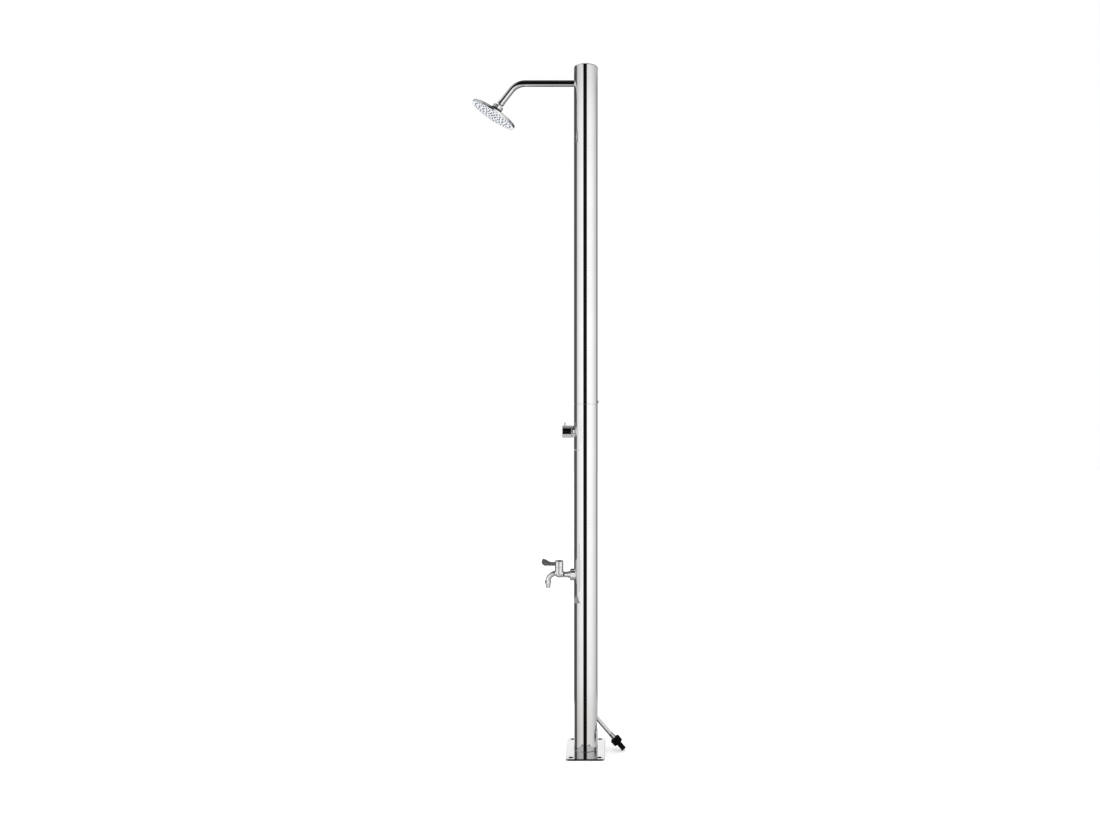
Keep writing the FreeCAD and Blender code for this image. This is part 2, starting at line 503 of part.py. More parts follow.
# black nose piece for a garden hose coupling, with an O-ring groove
nose = rev([(4.5, 9.42), (13.75, 9.42), (13.75, 24.4), (12.4, 25.0), (9.6, 26.0), ((8.4, 27.0), (8.0, 28.6)), (8.0, 39.9), (6.6, 39.9), (6.6, 42.3),
            (8.0, 42.3), (8.0, L_TIP - 1.0), (7.2, L_TIP), (4.5, L_TIP)], fe, fd)
save("adapter_nose", one(nose))
save("adapter_o_ring", rev([(6.65, 41.1), ((7.4, 40.35), (8.15, 41.1)), ((7.4, 41.85), (6.65, 41.1))], fe, fd))
print("nose plain stretch centre", [round(c, 3) for c in (P_END + end_dir * 34.2)], "dir", [round(c, 5) for c in end_dir])
print("ball", HB, "head axis", [round(c, 5) for c in W], "arm up", [round(c, 5) for c in UP_ARM])
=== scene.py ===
import math

import bpy
import bmesh
import numpy as np
from mathutils import Matrix, Quaternion, Vector


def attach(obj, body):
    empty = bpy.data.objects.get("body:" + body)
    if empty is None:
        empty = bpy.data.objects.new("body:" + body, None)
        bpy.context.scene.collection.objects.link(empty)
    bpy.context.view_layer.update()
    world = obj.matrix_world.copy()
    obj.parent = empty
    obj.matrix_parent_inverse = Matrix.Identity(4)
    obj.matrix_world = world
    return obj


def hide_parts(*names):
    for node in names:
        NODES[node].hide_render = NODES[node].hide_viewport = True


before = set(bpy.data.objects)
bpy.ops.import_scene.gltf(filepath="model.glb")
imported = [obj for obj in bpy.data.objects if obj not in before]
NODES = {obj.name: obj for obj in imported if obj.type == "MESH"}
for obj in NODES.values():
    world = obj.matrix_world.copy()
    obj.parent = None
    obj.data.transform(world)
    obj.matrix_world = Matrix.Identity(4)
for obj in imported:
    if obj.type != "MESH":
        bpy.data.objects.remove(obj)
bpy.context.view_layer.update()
scene = bpy.context.scene
scene.view_settings.view_transform = "Standard"
scene.view_settings.look = "None"
scene.view_settings.exposure = 0.0
scene.view_settings.gamma = 1.0

# ------------------------------------------------------------------ camera
cam_data = bpy.data.cameras.new("camera")
cam = bpy.data.objects.new("camera", cam_data)
scene.collection.objects.link(cam)
cam_data.sensor_width = 36.0
cam_data.lens = 31.73
cam_data.shift_x = -0.0529
cam_data.clip_start = 0.05
cam_data.clip_end = 60.0
cam.location = (0.0718, -3.1211, 1.0949)
cam.rotation_euler = (math.radians(90.0 - 0.133), 0.0, 0.0)
scene.camera = cam

# ------------------------------------------------------------------ sizes shared with the frame, in metres
POST_R = 0.03805
BALL = Vector((-0.2850, 0.0, 2.0646))
HEAD_W = Vector((-0.519519, 0.0, -0.854459)).normalized()     # head axis, out of the spray face
VALVE_Z = 1.0246
TAP_X = -0.086


# ------------------------------------------------------------------ helpers
def link(ob):
    scene.collection.objects.link(ob)
    return ob


def mesh_object(name, verts, faces, smooth=True):
    me = bpy.data.meshes.new(name)
    me.from_pydata([tuple(v) for v in verts], [], faces)
    me.validate()
    me.update()
    if smooth:
        me.polygons.foreach_set("use_smooth", [True] * len(me.polygons))
    return link(bpy.data.objects.new(name, me))


def sharp_by_angle(ob, angle=32.0):
    """Smooth shading with edges kept sharp past the angle."""
    bm = bmesh.new()
    bm.from_mesh(ob.data)
    for e in bm.edges:
        e.smooth = not (len(e.link_faces) == 2 and e.calc_face_angle(0) > math.radians(angle))
    for f in bm.faces:
        f.smooth = True
    bm.to_mesh(ob.data)
    bm.free()


def frame_at(axis):
    """Two directions across an axis."""
    axis = Vector(axis).normalized()
    side = Vector((0, 1, 0)) if abs(axis.y) < 0.8 else Vector((1, 0, 0))
    u = side.cross(axis).normalized()
    return u, axis.cross(u)


def lathe(name, profile, base, axis, seg=64, closed=True):
    """Turned solid: profile points are (radius, distance along the axis)."""
    base, axis = Vector(base), Vector(axis).normalized()
    u, v = frame_at(axis)
    verts, faces, rows = [], [], []
    for r, s in profile:
        if r < 1e-7:
            rows.append([len(verts)])
            verts.append(base + axis * s)
        else:
            rows.append(list(range(len(verts), len(verts) + seg)))
            for i in range(seg):
                a = 2 * math.pi * i / seg
                verts.append(base + axis * s + (u * math.cos(a) + v * math.sin(a)) * r)
    pairs = list(zip(rows, rows[1:])) + ([(rows[-1], rows[0])] if closed else [])
    for a, b in pairs:
        if len(a) == 1 and len(b) == 1:
            continue
        for i in range(seg):
            j = (i + 1) % seg
            if len(a) == 1:
                faces.append((a[0], b[j], b[i]))
            elif len(b) == 1:
                faces.append((a[i], a[j], b[0]))
            else:
                faces.append((a[i], a[j], b[j], b[i]))
    ob = mesh_object(name, verts, faces)
    outward(ob)
    return ob


def outward(ob):
    bm = bmesh.new()
    bm.from_mesh(ob.data)
    bmesh.ops.recalc_face_normals(bm, faces=bm.faces)
    bm.to_mesh(ob.data)
    bm.free()


# ------------------------------------------------------------------ the inlet hose: a free hose on one smooth line
INLET = [(0.0, 0.0, 0.5295), (0.0, 0.0, 0.470), (-0.0015, 0.002, 0.400), (-0.0055, 0.0045, 0.325), (-0.012, 0.006, 0.250),
         (-0.01968, 0.00558, 0.16604), (0.03765, 0.0, 0.099), (0.08874, -0.00486, 0.04228)]


def nurbs_line(name, points, radius):
    cu = bpy.data.curves.new(name, "CURVE")
    cu.dimensions = "3D"
    cu.resolution_u = 20
    cu.bevel_depth = radius
    cu.bevel_resolution = 7
    cu.use_fill_caps = True
    sp = cu.splines.new("NURBS")
    sp.points.add(len(points) - 1)
    for p, co in zip(sp.points, points):
        p.co = (co[0], co[1], co[2], 1.0)
    sp.order_u = 3
    sp.use_endpoint_u = True
    return link(bpy.data.objects.new(name, cu))


def line_points(ob):
    """The points of a curve's own line, in order."""
    depth, ob.data.bevel_depth = ob.data.bevel_depth, 0.0
    caps, ob.data.use_fill_caps = ob.data.use_fill_caps, False
    bpy.context.view_layer.update()
    me = bpy.data.meshes.new_from_object(ob)
    pts = [ob.matrix_world @ v.co for v in me.vertices]
    bpy.data.meshes.remove(me)
    ob.data.bevel_depth, ob.data.use_fill_caps = depth, caps
    bpy.context.view_layer.update()
    return pts


def resample(pts, step):
    pts = [Vector(p) for p in pts]
    out, carry = [pts[0].copy()], 0.0
    for a, b in zip(pts, pts[1:]):
        d = (b - a).length
        t = step - carry
        while t <= d:
            out.append(a.lerp(b, t / d))
            t += step
        carry = d - (t - step)
    out.append(pts[-1].copy())
    return out


def transport(pts):
    """Directions and a frame that turns with the line."""
    T = []
    for i in range(len(pts)):
        a, b = pts[max(0, i - 1)], pts[min(len(pts) - 1, i + 1)]
        T.append((b - a).normalized())
    u, _ = frame_at(T[0])
    U = [u]
    for a, b in zip(T, T[1:]):
        q = a.rotation_difference(b)
        u = q @ u
        u = (u - b * u.dot(b)).normalized()
        U.append(u.copy())
    return T, U, [t.cross(u) for t, u in zip(T, U)]


hose = nurbs_line("inlet_hose_line", INLET, 0.00625)
hose_path = line_points(hose)


def braid(name, path, radius, carriers, wires, lay_deg, step, amp, wire_r):
    """Flat bundles of wires wound both ways round a line, over and under each other."""
    pts = resample(path, step)
    T, U, V_ = transport(pts)
    k = math.tan(math.radians(lay_deg)) / radius
    pitch = 2 * math.pi * radius / carriers * math.cos(math.radians(lay_deg))
    across = 2 * wires + 1
    half = pitch * 0.46
    verts, faces = [], []
    for sign in (1, -1):
        for c in range(carriers):
            phase = 2 * math.pi * c / carriers
            base = len(verts)
            for i, p in enumerate(pts):
                s = i * step
                lift = sign * amp * math.cos(carriers * k * s)
                a0 = phase + sign * k * s
                for w in range(across):
                    x = (w / (across - 1) * 2 - 1) * half
                    da = x * math.cos(math.radians(lay_deg)) / radius
                    ds = -sign * x * math.sin(math.radians(lay_deg))
                    r = radius + lift + (wire_r if w % 2 else -wire_r * 0.35)
                    a = a0 + da
                    verts.append(p + T[i] * ds + (U[i] * math.cos(a) + V_[i] * math.sin(a)) * r)
            for i in range(len(pts) - 1):
                for w in range(across - 1):
                    q = base + i * across + w
                    faces.append((q, q + 1, q + across + 1, q + across))
    return mesh_object(name, verts, faces)


# ------------------------------------------------------------------ world and stage
def build_world():
    world = bpy.data.worlds.new("studio")
    scene.world = world
    world.use_nodes = True
    nt = world.node_tree
    nt.nodes.clear()
    N, L = nt.nodes.new, nt.links.new

    def math_node(op, a, b=None, clamp=False):
        n = N("ShaderNodeMath")
        n.operation = op
        n.use_clamp = clamp
        for i, v in enumerate((a, b)):
            if v is None:
                continue
            if isinstance(v, (int, float)):
                n.inputs[i].default_value = v
            else:
                L(v, n.inputs[i])
        return n.outputs[0]

    def ramp(fac, keys):
        n = N("ShaderNodeValToRGB")
        n.color_ramp.interpolation = "LINEAR"
        els = n.color_ramp.elements
        while len(els) > 1:
            els.remove(els[-1])
        els[0].position, els[0].color = keys[0][0], (*keys[0][1], 1)
        for p, c in keys[1:]:
            e = els.new(p)
            e.color = (*c, 1)
        L(fac, n.inputs[0])
        return n.outputs[0]

    def mix(fac, a, b):
        n = N("ShaderNodeMix")
        n.data_type = "RGBA"
        for sock, v in ((n.inputs[0], fac), (n.inputs[6], a), (n.inputs[7], b)):
            if isinstance(v, tuple):
                sock.default_value = (*v, 1)
            elif isinstance(v, (int, float)):
                sock.default_value = v
            else:
                L(v, sock)
        return n.outputs[2]

    def smooth(value, lo, hi):
        n = N("ShaderNodeMapRange")
        n.interpolation_type = "SMOOTHSTEP"
        n.clamp = True
        L(value, n.inputs[0])
        n.inputs[1].default_value, n.inputs[2].default_value = lo, hi
        n.inputs[3].default_value, n.inputs[4].default_value = 0.0, 1.0
        return n.outputs[0]

    tc = N("ShaderNodeTexCoord")
    sep = N("ShaderNodeSeparateXYZ")
    L(tc.outputs["Generated"], sep.inputs[0])
    x, y, z = sep.outputs
    az = math_node("ARCTAN2", x, math_node("MULTIPLY", y, -1.0))
    fac = math_node("ADD", math_node("MULTIPLY", az, 1 / (2 * math.pi)), 0.5)

    def g(v, blue=0.0):
        return (v * (1 - blue), v, v * (1 + blue))

    def at(deg):
        return deg / 360.0 + 0.5

    around = ramp(fac, [
        (at(-180), g(0.86, 0.03)), (at(-168), g(1.03, 0.04)), (at(-152), g(1.03, 0.04)), (at(-138), g(0.40)), (at(-130), g(0.10)), (at(-101), g(0.10)), (at(-91), g(0.78)),
        (at(-75), g(0.95)), (at(-50), g(1.10)), (at(-27), g(1.14)), (at(-21.5), g(0.008)), (at(8.5), g(0.008)), (at(14.5), g(1.17)), (at(40), g(1.18)),
        (at(60), g(1.12)), (at(84), g(0.94)), (at(98), g(0.81)), (at(114), g(0.72)), (at(150), g(0.70, 0.02)), (at(180), g(0.80, 0.03))])
    up = ramp(math_node("ADD", math_node("MULTIPLY", z, 0.5), 0.5), [
        (0.0, g(0.55)), (0.14, g(0.52)), (0.24, g(0.45)), (0.333, (0.69, 0.68, 0.665)), (0.345, (0.71, 0.70, 0.69)), (0.363, (0.85, 0.84, 0.83)), (0.401, g(0.93)), (0.44, g(0.99)),
        (0.5, g(1.01)), (0.543, g(1.02)), (0.583, g(0.98)), (0.621, g(0.97)), (0.649, g(0.88)), (0.661, g(0.77)), (0.68, g(0.68)), (0.72, g(0.42)), (0.76, g(0.14)), (0.80, g(0.06)), (1.0, g(0.05))])
    base = N("ShaderNodeMix")
    base.data_type, base.blend_type = "RGBA", "MULTIPLY"
    base.inputs[0].default_value = 1.0
    L(around, base.inputs[6])
    L(up, base.inputs[7])
    over = mix(smooth(z, 0.72, 0.90), base.outputs[2], g(0.05))
    side = math_node("MULTIPLY", smooth(az, math.radians(-160), math.radians(-140)), smooth(az, math.radians(-48), math.radians(-60)))
    high = math_node("MULTIPLY", smooth(z, 0.44, 0.54), smooth(z, 0.94, 0.86))
    over = mix(math_node("MULTIPLY", side, high), over, g(0.62))
    under = mix(smooth(z, -0.70, -0.84), over, (0.62, 0.615, 0.61))

    path = N("ShaderNodeLightPath")
    soft = ramp(math_node("ADD", math_node("MULTIPLY", z, 0.5), 0.5), [(0.0, g(0.80)), (0.5, g(0.98)), (1.0, g(1.06))])
    not_camera = mix(path.outputs["Is Diffuse Ray"], under, soft)
    colour = mix(path.outputs["Is Camera Ray"], not_camera, (1.0, 1.0, 1.0))
    bg = N("ShaderNodeBackground")
    L(colour, bg.inputs[0])
    bg.inputs[1].default_value = 1.0
    out = N("ShaderNodeOutputWorld")
    L(bg.outputs[0], out.inputs[0])


build_world()


def plain(name, colour, emission=0.0, rough=0.9):
    m = bpy.data.materials.new(name)
    m.use_nodes = True
    p = m.node_tree.nodes["Principled BSDF"]
    p.inputs["Base Color"].default_value = (*colour, 1)
    p.inputs["Roughness"].default_value = rough
    p.inputs["Specular IOR Level"].default_value = 0.1
    p.inputs["Emission Color"].default_value = (*colour, 1)
    p.inputs["Emission Strength"].default_value = emission
    return m


def panel(name, corners, material):
    ob = mesh_object(name, [Vector(c) for c in corners], [(0, 1, 2, 3)], smooth=False)
    ob.data.materials.append(material)
    return ob


floor = panel("floor", [(-14, -14, 0), (14, -14, 0), (14, 14, 0), (-14, 14, 0)], plain("floor_paint", (0.97, 0.97, 0.97), 0.22))
floor.location.z = -0.0003
floor.visible_glossy = False


def flag(name, x0, x1, value, z0=0.10, z1=1.95, y=0.15):
    """A plane that only the polish sees."""
    m = bpy.data.materials.new(name)
    m.use_nodes = True
    nt = m.node_tree
    nt.nodes.clear()
    em = nt.nodes.new("ShaderNodeEmission")
    em.inputs[0].default_value = (value, value, value, 1)
    em.inputs[1].default_value = 1.0
    out = nt.nodes.new("ShaderNodeOutputMaterial")
    nt.links.new(em.outputs[0], out.inputs[0])
    ob = panel(name, [(x0, y, z0), (x1, y, z0), (x1, y, z1), (x0, y, z1)], m)
    ob.visible_camera = False
    ob.visible_diffuse = False
    ob.visible_shadow = False
    ob.visible_transmission = False
    return ob


flag("flag_left", -0.22, -0.022, 0.06, z1=2.25)
flag("flag_right", 0.024, 0.36, 0.33, z1=2.25)

# cards close in front of the tap, so its pipe, flange and spout stay bright in their middles
flag("pipe_card", -0.071, -0.034, 0.92, 0.52, 0.61, -0.06)
flag("bonnet_card", -0.104, -0.077, 0.46, 0.50, 0.66, -0.06)
flag("spout_card", -0.142, -0.108, 0.92, 0.47, 0.592, -0.06)

# card in front of the collar between knob and post, and one low under both
flag("collar_card", -0.047, -0.037, 0.92, 0.99, 1.06, -0.06)
low_card = flag("low_card", -0.084, -0.044, 0.62)
for v, co in zip(low_card.data.vertices, ((-0.084, -0.060, 0.965), (-0.036, -0.060, 0.965), (-0.036, 0.045, 0.965), (-0.084, 0.045, 0.965))):
    v.co = co

# dark card below the tap, for the thin dark lines along its underside
tap_card = flag("tap_card", -0.145, -0.034, 0.33)
for v, co in zip(tap_card.data.vertices, ((-0.145, -0.050, 0.475), (-0.034, -0.050, 0.475), (-0.034, 0.045, 0.475), (-0.145, 0.045, 0.475))):
    v.co = co

# soft card above the knob, brighter towards the back
knob_card = flag("knob_card", -0.082, -0.044, 0.3)
kc = knob_card.data.materials[0].node_tree
for v, co in zip(knob_card.data.vertices, ((-0.084, -0.080, 1.085), (-0.044, -0.080, 1.085), (-0.044, 0.045, 1.085), (-0.084, 0.045, 1.085))):
    v.co = co
kc_tc = kc.nodes.new("ShaderNodeTexCoord")
kc_sep = kc.nodes.new("ShaderNodeSeparateXYZ")
kc_map = kc.nodes.new("ShaderNodeMapRange")
kc.links.new(kc_tc.outputs["Object"], kc_sep.inputs[0])
kc.links.new(kc_sep.outputs[1], kc_map.inputs[0])
for i, v in enumerate((-0.052, 0.02, 0.0, 0.50)):
    kc_map.inputs[i + 1].default_value = v
kc.links.new(kc_map.outputs[0], kc.nodes["Emission"].inputs[0])

# card low behind the plate, seen only in its polish
flag("card", -0.5, 0.5, 1.45, 0.385, 1.03, 2.0)


# ------------------------------------------------------------------ materials
class Shade:
    """A Principled material with a few procedural layers on object coordinates."""

    def __init__(self, name, colour, metallic=0.0, rough=0.4, ior=1.5, specular=0.5):
        self.m = bpy.data.materials.new(name)
        self.m.use_nodes = True
        self.nt = self.m.node_tree
        self.p = self.nt.nodes["Principled BSDF"]
        self.colour = colour
        self.p.inputs["Base Color"].default_value = (*colour, 1)
        self.p.inputs["Metallic"].default_value = metallic
        self.p.inputs["Roughness"].default_value = rough
        self.p.inputs["IOR"].default_value = ior
        self.p.inputs["Specular IOR Level"].default_value = specular
        self.tc = self.node("ShaderNodeTexCoord")
        self.bump_in = None
        self.rough = rough

    def node(self, kind):
        return self.nt.nodes.new(kind)

    def link(self, a, b):
        self.nt.links.new(a, b)

    def math(self, op, a, b=None, clamp=False):
        n = self.node("ShaderNodeMath")
        n.operation = op
        n.use_clamp = clamp
        for i, v in enumerate((a, b)):
            if v is None:
                continue
            if isinstance(v, (int, float)):
                n.inputs[i].default_value = v
            else:
                self.link(v, n.inputs[i])
        return n.outputs[0]

    def coords(self, scale=(1, 1, 1), turn=(0, 0, 0)):
        n = self.node("ShaderNodeMapping")
        self.link(self.tc.outputs["Object"], n.inputs[0])
        n.inputs["Scale"].default_value = scale
        n.inputs["Rotation"].default_value = turn
        return n.outputs[0]

    def noise(self, scale, detail=3.0, rough=0.5, stretch=(1, 1, 1), distortion=0.0):
        n = self.node("ShaderNodeTexNoise")
        self.link(self.coords(stretch), n.inputs["Vector"])
        n.inputs["Scale"].default_value = scale
        n.inputs["Detail"].default_value = detail
        n.inputs["Roughness"].default_value = rough
        n.inputs["Distortion"].default_value = distortion
        return n.outputs[0]

    def voronoi(self, scale, stretch=(1, 1, 1), feature="F1"):
        n = self.node("ShaderNodeTexVoronoi")
        n.feature = feature
        self.link(self.coords(stretch), n.inputs["Vector"])
        n.inputs["Scale"].default_value = scale
        return n.outputs["Distance"]

    def remap(self, value, lo, hi, a, b, smooth=False):
        n = self.node("ShaderNodeMapRange")
        n.clamp = True
        if smooth:
            n.interpolation_type = "SMOOTHSTEP"
        self.link(value, n.inputs[0])
        for i, v in enumerate((lo, hi, a, b)):
            n.inputs[i + 1].default_value = v
        return n.outputs[0]

    def tone(self, value, a, b, lo=0.3, hi=0.7):
        """Base colour runs from a to b with the value."""
        n = self.node("ShaderNodeMix")
        n.data_type = "RGBA"
        self.link(self.remap(value, lo, hi, 0, 1), n.inputs[0])
        n.inputs[6].default_value = (*a, 1)
        n.inputs[7].default_value = (*b, 1)
        self.link(n.outputs[2], self.p.inputs["Base Color"])
        return n

    def roughness(self, value):
        self.link(value, self.p.inputs["Roughness"])

    def bump(self, value, strength, distance):
        n = self.node("ShaderNodeBump")
        n.inputs["Strength"].default_value = strength
        n.inputs["Distance"].default_value = distance
        self.link(value, n.inputs["Height"])
        if self.bump_in is not None:
            self.link(self.bump_in, n.inputs["Normal"])
        self.bump_in = n.outputs[0]
        self.link(self.bump_in, self.p.inputs["Normal"])

    def radius(self, base, axis):
        """Distance from an axis."""
        sub = self.node("ShaderNodeVectorMath")
        sub.operation = "SUBTRACT"
        self.link(self.tc.outputs["Object"], sub.inputs[0])
        sub.inputs[1].default_value = tuple(base)
        crs = self.node("ShaderNodeVectorMath")
        crs.operation = "CROSS_PRODUCT"
        self.link(sub.outputs[0], crs.inputs[0])
        crs.inputs[1].default_value = tuple(Vector(axis).normalized())
        ln = self.node("ShaderNodeVectorMath")
        ln.operation = "LENGTH"
        self.link(crs.outputs[0], ln.inputs[0])
        return ln.outputs["Value"]

    def noise1d(self, value, scale, detail=4.0):
        n = self.node("ShaderNodeTexNoise")
        n.noise_dimensions = "1D"
        self.link(value, n.inputs["W"])
        n.inputs["Scale"].default_value = scale
        n.inputs["Detail"].default_value = detail
        return n.outputs[0]


def steel(name, grain=(1, 1, 1), grain_scale=900, rough=0.085, spread=0.05, tone=0.80, spin=None, bump=0.05, wave=0.0, specks=0.035):
    s = Shade(name, (tone, tone, tone * 1.008), metallic=1.0, rough=rough)
    cloud = s.noise(9.0, 4.0, 0.55)
    fine = s.noise(grain_scale, 2.0, 0.6, grain)
    spots = s.voronoi(130.0)
    s.tone(cloud, (tone - 0.025, tone - 0.025, tone - 0.02), (tone + 0.02, tone + 0.02, tone + 0.025))
    r = s.math("ADD", s.remap(cloud, 0.3, 0.7, rough - spread * 0.3, rough + spread * 0.3), s.remap(fine, 0.3, 0.75, 0.0, spread))
    r = s.math("ADD", r, s.remap(spots, 0.05, 0.13, specks, 0.0, True))
    s.roughness(r)
    s.bump(fine, bump, 0.00004)
    if wave:
        s.bump(s.noise(7.0, 2.0, 0.4), wave, 0.002)
    if spin:
        s.bump(s.noise1d(s.radius(*spin), 2400.0, 3.0), 0.10, 0.00005)
    return s.m


def chrome(name, rough=0.05, tone=0.84):
    s = Shade(name, (tone, tone, tone * 1.01), metallic=1.0, rough=rough)
    cloud = s.noise(45.0, 3.0)
    pits = s.voronoi(900.0)
    s.tone(cloud, (tone - 0.02,) * 3, (tone + 0.02, tone + 0.02, tone + 0.028))
    s.roughness(s.math("ADD", s.remap(cloud, 0.3, 0.7, rough * 0.7, rough * 1.5), s.remap(pits, 0.03, 0.12, 0.06, 0.0, True)))
    s.bump(s.noise(140.0, 2.0), 0.04, 0.0004)
    return s.m


def brass(name):
    s = Shade(name, (0.72, 0.52, 0.26), metallic=1.0, rough=0.28)
    cloud = s.noise(60.0, 5.0)
    s.tone(cloud, (0.60, 0.42, 0.20), (0.80, 0.60, 0.32))
    turn = s.noise(1400.0, 2.0, 0.5, (1, 1, 0.05))
    s.roughness(s.remap(s.math("ADD", s.math("MULTIPLY", cloud, 0.6), s.math("MULTIPLY", turn, 0.4)), 0.3, 0.7, 0.2, 0.42))
    s.bump(turn, 0.12, 0.00006)
    return s.m


def moulded(name, colour, rough=0.42, grain=1500.0, strength=0.18, dust=0.02, specular=0.5):
    s = Shade(name, colour, rough=rough, specular=specular)
    cloud = s.noise(35.0, 5.0, 0.6)
    fine = s.noise(grain, 3.0, 0.6)
    lighter = tuple(min(1.0, c + dust) for c in colour)
    s.tone(cloud, colour, lighter, 0.35, 0.75)
    s.roughness(s.remap(s.math("ADD", s.math("MULTIPLY", cloud, 0.5), s.math("MULTIPLY", fine, 0.5)), 0.3, 0.7, rough - 0.08, rough + 0.12))
    s.bump(fine, strength, 0.00012)
    return s.m


def woven(name):
    """Fine wire braid for the hoses inside the post."""
    s = Shade(name, (0.62, 0.62, 0.63), metallic=1.0, rough=0.3)
    a = s.node("ShaderNodeTexWave")
    b = s.node("ShaderNodeTexWave")
    for n, turn in ((a, 0.75), (b, -0.75)):
        s.link(s.coords((1, 1, 1), (turn, turn, 0)), n.inputs["Vector"])
        n.wave_type, n.bands_direction = "BANDS", "Z"
        n.inputs["Scale"].default_value = 260.0
        n.inputs["Distortion"].default_value = 0.3
    cross = s.math("MAXIMUM", a.outputs[1], b.outputs[1])
    s.tone(cross, (0.20, 0.20, 0.21), (0.74, 0.74, 0.75), 0.2, 0.9)
    s.roughness(s.remap(cross, 0.0, 1.0, 0.5, 0.24))
    s.bump(cross, 0.6, 0.0004)
    return s.m


def wire_braid(name):
    """Bright wire bundles with painted shade: near-black on the side that faces down and away from the light."""
    s = Shade(name, (0.92, 0.92, 0.93), metallic=0.45, rough=0.38)
    fine = s.noise(3000.0, 2.0, 0.6)
    cloud = s.noise(60.0, 3.0)
    geo = s.node("ShaderNodeNewGeometry")
    dot = s.node("ShaderNodeVectorMath")
    dot.operation = "DOT_PRODUCT"
    s.link(geo.outputs["Normal"], dot.inputs[0])
    dot.inputs[1].default_value = tuple(Vector((-0.72, -0.25, -0.65)).normalized())
    # painted shade: the base colour darkens where the normal turns down and away, with a little random tone mixed in
    low = s.remap(dot.outputs["Value"], 0.30, 0.62, 0.0, 1.0, True)
    painted_shade_and_tone = s.math("ADD", low, s.remap(cloud, 0.3, 0.7, -0.03, 0.05), clamp=True)
    s.tone(painted_shade_and_tone, (0.93, 0.93, 0.94), (0.03, 0.03, 0.03), 0.0, 1.0)
    s.roughness(s.remap(fine, 0.3, 0.7, 0.30, 0.48))
    s.bump(fine, 0.05, 0.00004)
    return s.m


def matt_where(nt, mask):
    """Bare metal only outside the mask, dull and without a shine inside it."""
    p = nt.nodes["Principled BSDF"]
    for socket, full in (("Metallic", 1.0), ("Specular IOR Level", 0.5)):
        n = nt.nodes.new("ShaderNodeMath")
        n.operation = "MULTIPLY_ADD"
        nt.links.new(mask, n.inputs[0])
        n.inputs[1].default_value = -full
        n.inputs[2].default_value = full
        nt.links.new(n.outputs[0], p.inputs[socket])


def painted_dark_foot(m):
    """Painted dark reflection: the collar nut's foot is painted near-black and matt in a band, for the dark reflection
    there.
    """
    nt = m.node_tree
    p = nt.nodes["Principled BSDF"]
    tc = nt.nodes.new("ShaderNodeTexCoord")
    dot = nt.nodes.new("ShaderNodeVectorMath")
    dot.operation = "DOT_PRODUCT"
    nt.links.new(tc.outputs["Object"], dot.inputs[0])
    dot.inputs[1].default_value = tuple(HEAD_W)
    low = nt.nodes.new("ShaderNodeMath")
    low.operation = "GREATER_THAN"
    nt.links.new(dot.outputs["Value"], low.inputs[0])
    low.inputs[1].default_value = BALL.dot(HEAD_W) + 0.0026
    # painted dark reflection colour for the band
    mix = nt.nodes.new("ShaderNodeMix")
    mix.data_type = "RGBA"
    nt.links.new(low.outputs[0], mix.inputs[0])
    nt.links.new(p.inputs["Base Color"].links[0].from_socket, mix.inputs[6])
    mix.inputs[7].default_value = (0.006, 0.006, 0.006, 1)
    nt.links.new(mix.outputs[2], p.inputs["Base Color"])
    matt_where(nt, low.outputs[0])
    return m


def painted_hole_shade(m):
    """Painted shade: the plate is painted near-black and matt in and round its four anchor holes, for the shade in
    them.
    """
    nt = m.node_tree
    p = nt.nodes["Principled BSDF"]

    def calc(op, a, b=0.0):
        n = nt.nodes.new("ShaderNodeMath")
        n.operation = op
        for i, v in enumerate((a, b)):
            if isinstance(v, float):
                n.inputs[i].default_value = v
            else:
                nt.links.new(v, n.inputs[i])
        return n.outputs[0]

    tc = nt.nodes.new("ShaderNodeTexCoord")
    sep = nt.nodes.new("ShaderNodeSeparateXYZ")
    nt.links.new(tc.outputs["Object"], sep.inputs[0])
    dx = calc("SUBTRACT", calc("ABSOLUTE", sep.outputs[0]), 0.045)
    dy = calc("SUBTRACT", calc("ABSOLUTE", sep.outputs[1]), 0.085)
    d = calc("SQRT", calc("ADD", calc("MULTIPLY", dx, dx), calc("MULTIPLY", dy, dy)))
    # painted shade mask, 7.2 mm round each anchor-hole centre
    hole_shade_mask = calc("LESS_THAN", d, 0.0072)
    mix = nt.nodes.new("ShaderNodeMix")
    mix.data_type = "RGBA"
    nt.links.new(hole_shade_mask, mix.inputs[0])
    nt.links.new(p.inputs["Base Color"].links[0].from_socket, mix.inputs[6])
    mix.inputs[7].default_value = (0.010, 0.010, 0.010, 1)
    nt.links.new(mix.outputs[2], p.inputs["Base Color"])
    matt_where(nt, hole_shade_mask)
    nt.links.new(calc("MAXIMUM", p.inputs["Roughness"].links[0].from_socket, calc("MULTIPLY", hole_shade_mask, 0.7)), p.inputs["Roughness"])
    return m


